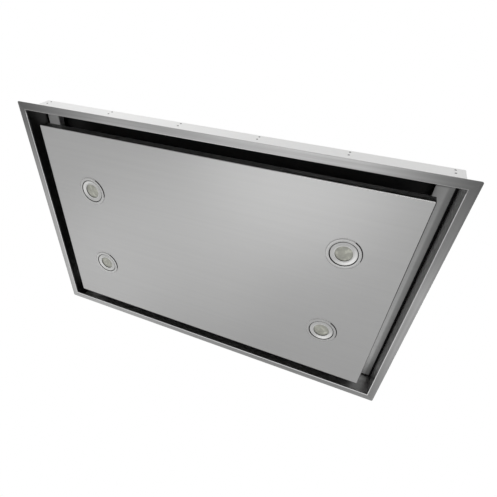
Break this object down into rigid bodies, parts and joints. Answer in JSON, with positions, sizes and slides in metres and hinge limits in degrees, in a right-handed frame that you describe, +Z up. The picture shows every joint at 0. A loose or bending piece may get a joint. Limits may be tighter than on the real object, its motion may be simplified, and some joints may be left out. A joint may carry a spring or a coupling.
{
  "type": "ceiling range hood",
  "caption": "Shallow ceiling-mounted range hood with a flush hinged steel panel, edge suction round it, spot lamps, grease filters and a blower that vents sideways.",
  "frame": {"origin": "centre of the flange's ceiling face, which is the plane of the finished ceiling", "axes": "+Z up into the ceiling, X along the hood's long side, -Y towards the long side with the catches, which the picture shows nearest"},
  "size_m": [1.1, 0.7, 0.319],
  "materials": {
    "stainless": "bead-blasted stainless steel, satin",
    "galvanised": "galvanised sheet with a fine spangle",
    "fixings": "zinc-plated steel",
    "spring_steel": "bright spring steel",
    "black_foam": "closed-cell foam seal",
    "black_coated": "matt black powder coat",
    "black_anodised": "black anodised aluminium",
    "motor_paint": "grey enamel on the motor can",
    "dark_plastic": "textured dark plastic",
    "duct_plastic": "moulded dark grey plastic",
    "flap_plastic": "moulded pale grey plastic",
    "bush_rubber": "soft black rubber",
    "wheel_zinc": "galvanised sheet, dull",
    "board_green": "glass-filled board with solder mask",
    "white_plastic": "white moulded plastic",
    "lamp_metal": "satin nickel-plated die casting",
    "lens_frosted": "frosted opal lens",
    "heat_sink": "extruded aluminium, plain"
  },
  "bodies": {
    "hood": {"ceiling_frame": "stainless", "casing": "galvanised", "casing_rivets": "fixings", "ledge_liner": "stainless", "liner_seal": "black_foam", "plenum_box": "galvanised", "filter_deck": "black_coated", "filter_clips": "spring_steel", "hanger_brackets": "galvanised", "hanger_screws": "fixings", "hinge_brackets": "galvanised", "hinge_pins": "fixings", "catch_posts": "black_coated", "catch_magnets": "black_coated", "inlet_ring": "galvanised", "scroll_housing": "galvanised", "scroll_cover": "galvanised", "motor": "motor_paint", "motor_bushes": "bush_rubber", "motor_cap": "dark_plastic", "outlet_adapter": "duct_plastic", "duct_collar": "duct_plastic", "flap_pin": "fixings", "control_box": "galvanised", "control_box_lid": "galvanised", "control_board": "board_green", "run_capacitor": "white_plastic", "terminal_block": "white_plastic", "cable_gland": "dark_plastic", "box_screws": "fixings", "lamp_driver": "white_plastic"},
    "panel": {"panel_skin": "stainless", "panel_channels": "galvanised", "hinge_leaves": "galvanised", "striker_plates": "fixings", "lamp_bezels": "lamp_metal", "lamp_rings": "lamp_metal", "lamp_lenses": "lens_frosted", "lamp_heat_sinks": "heat_sink", "lamp_clips": "spring_steel"},
    "fan_wheel": {"impeller": "wheel_zinc", "impeller_blades": "wheel_zinc", "motor_shaft": "fixings"},
    "flap_front": {"flap_front": "flap_plastic"},
    "flap_back": {"flap_back": "flap_plastic"},
    "filter_left": {"filter_frame_left": "black_anodised", "filter_mesh_left": "black_anodised", "filter_handle_left": "black_anodised"},
    "filter_middle": {"filter_frame_middle": "black_anodised", "filter_mesh_middle": "black_anodised", "filter_handle_middle": "black_anodised"},
    "filter_right": {"filter_frame_right": "black_anodised", "filter_mesh_right": "black_anodised", "filter_handle_right": "black_anodised"}
  },
  "joints": [
    {"name": "panel_hinge", "type": "hinge", "parent": "hood", "child": "panel", "pos_m": [0, 0.284, 0.03], "axis": [1, 0, 0], "range_deg": [0, 88]},
    {"name": "wheel_spin", "type": "hinge", "parent": "hood", "child": "fan_wheel", "pos_m": [-0.07, 0.03, 0.215], "axis": [0, 0, 1], "continuous": true},
    {"name": "flap_front_swing", "type": "hinge", "parent": "hood", "child": "flap_front", "pos_m": [0.188, -0.065, 0.234], "axis": [0, 0, 1], "range_deg": [0, 75], "stiffness_Nm_per_rad": 0.02},
    {"name": "flap_back_swing", "type": "hinge", "parent": "hood", "child": "flap_back", "pos_m": [0.188, -0.065, 0.234], "axis": [0, 0, -1], "range_deg": [0, 75], "stiffness_Nm_per_rad": 0.02},
    {"name": "filter_left_drop", "type": "slide", "parent": "hood", "child": "filter_left", "axis": [0, 0, -1], "range_m": [0, 0.05]},
    {"name": "filter_middle_drop", "type": "slide", "parent": "hood", "child": "filter_middle", "axis": [0, 0, -1], "range_m": [0, 0.05]},
    {"name": "filter_right_drop", "type": "slide", "parent": "hood", "child": "filter_right", "axis": [0, 0, -1], "range_m": [0, 0.05]}
  ]
}
